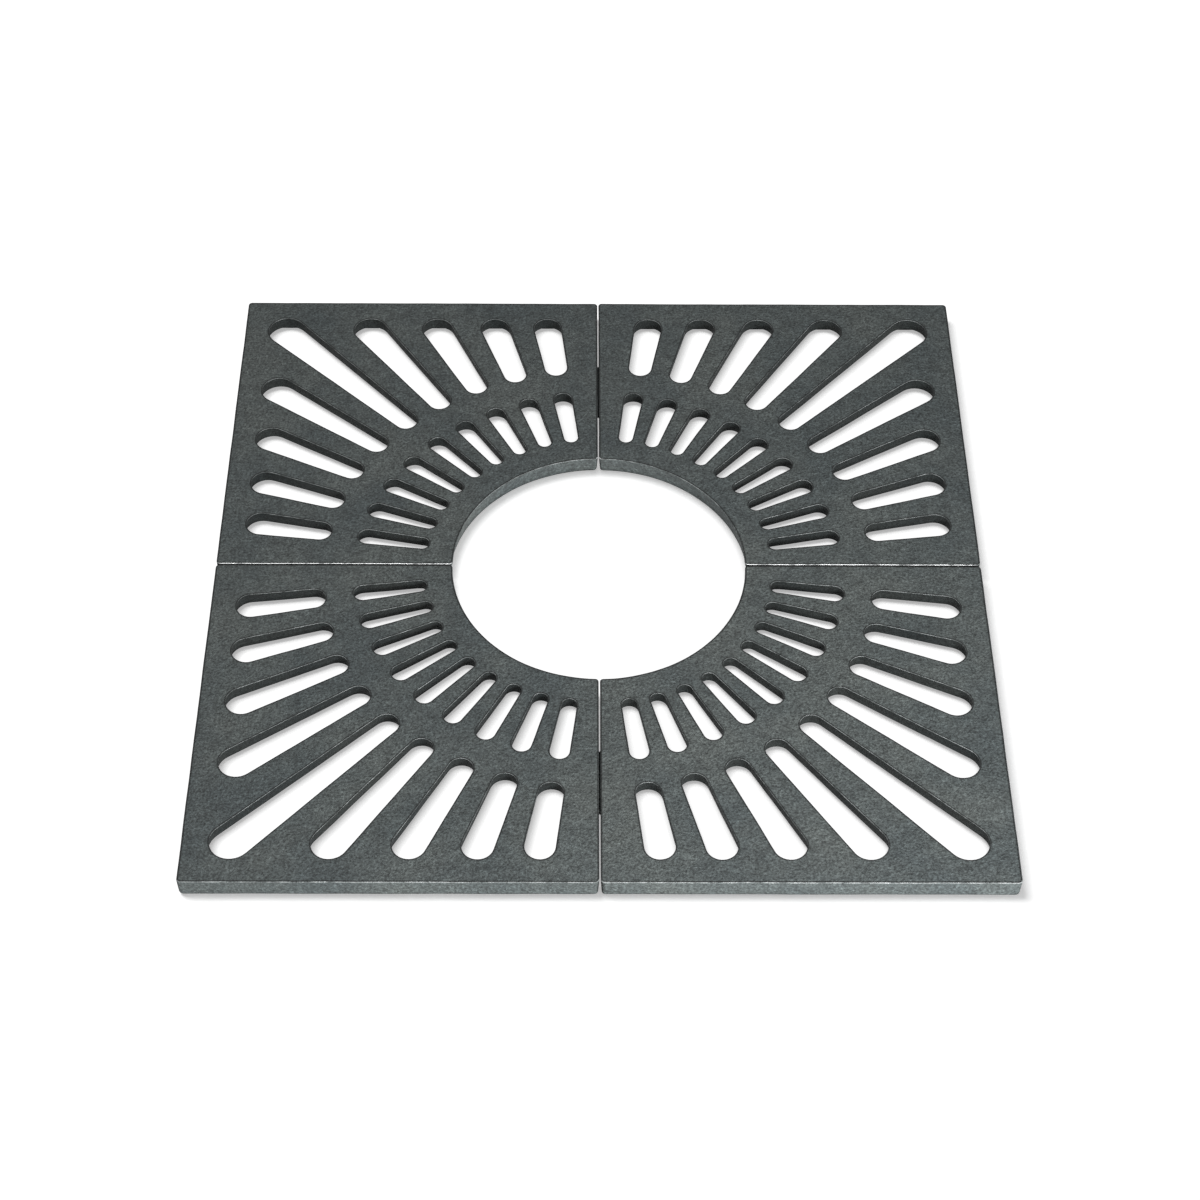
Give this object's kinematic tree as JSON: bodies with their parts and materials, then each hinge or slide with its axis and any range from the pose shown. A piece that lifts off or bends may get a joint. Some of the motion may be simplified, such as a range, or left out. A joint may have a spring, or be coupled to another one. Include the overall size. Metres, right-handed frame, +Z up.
{
  "type": "tree grate",
  "caption": "Square cast iron tree grate in bolted corner castings, with radial slots and a round trunk opening.",
  "frame": {"origin": "on the ground at the middle of the trunk opening", "axes": "+Z up out of the walking surface, +Y to the rear of the pictured view, +X to its right"},
  "size_m": [1, 1, 0.03],
  "materials": {
    "cast_iron": "as cast, dark grey",
    "zinc_steel": "zinc plated"
  },
  "bodies": {
    "root": {"casting_rear_right": "cast_iron", "casting_rear_left": "cast_iron", "casting_front_left": "cast_iron", "casting_front_right": "cast_iron", "bolt_rear": "zinc_steel", "bolt_left": "zinc_steel", "bolt_front": "zinc_steel", "bolt_right": "zinc_steel", "nut_rear": "zinc_steel", "nut_left": "zinc_steel", "nut_front": "zinc_steel", "nut_right": "zinc_steel", "washer_rear": "zinc_steel", "washer_left": "zinc_steel", "washer_front": "zinc_steel", "washer_right": "zinc_steel"}
  },
  "joints": []
}
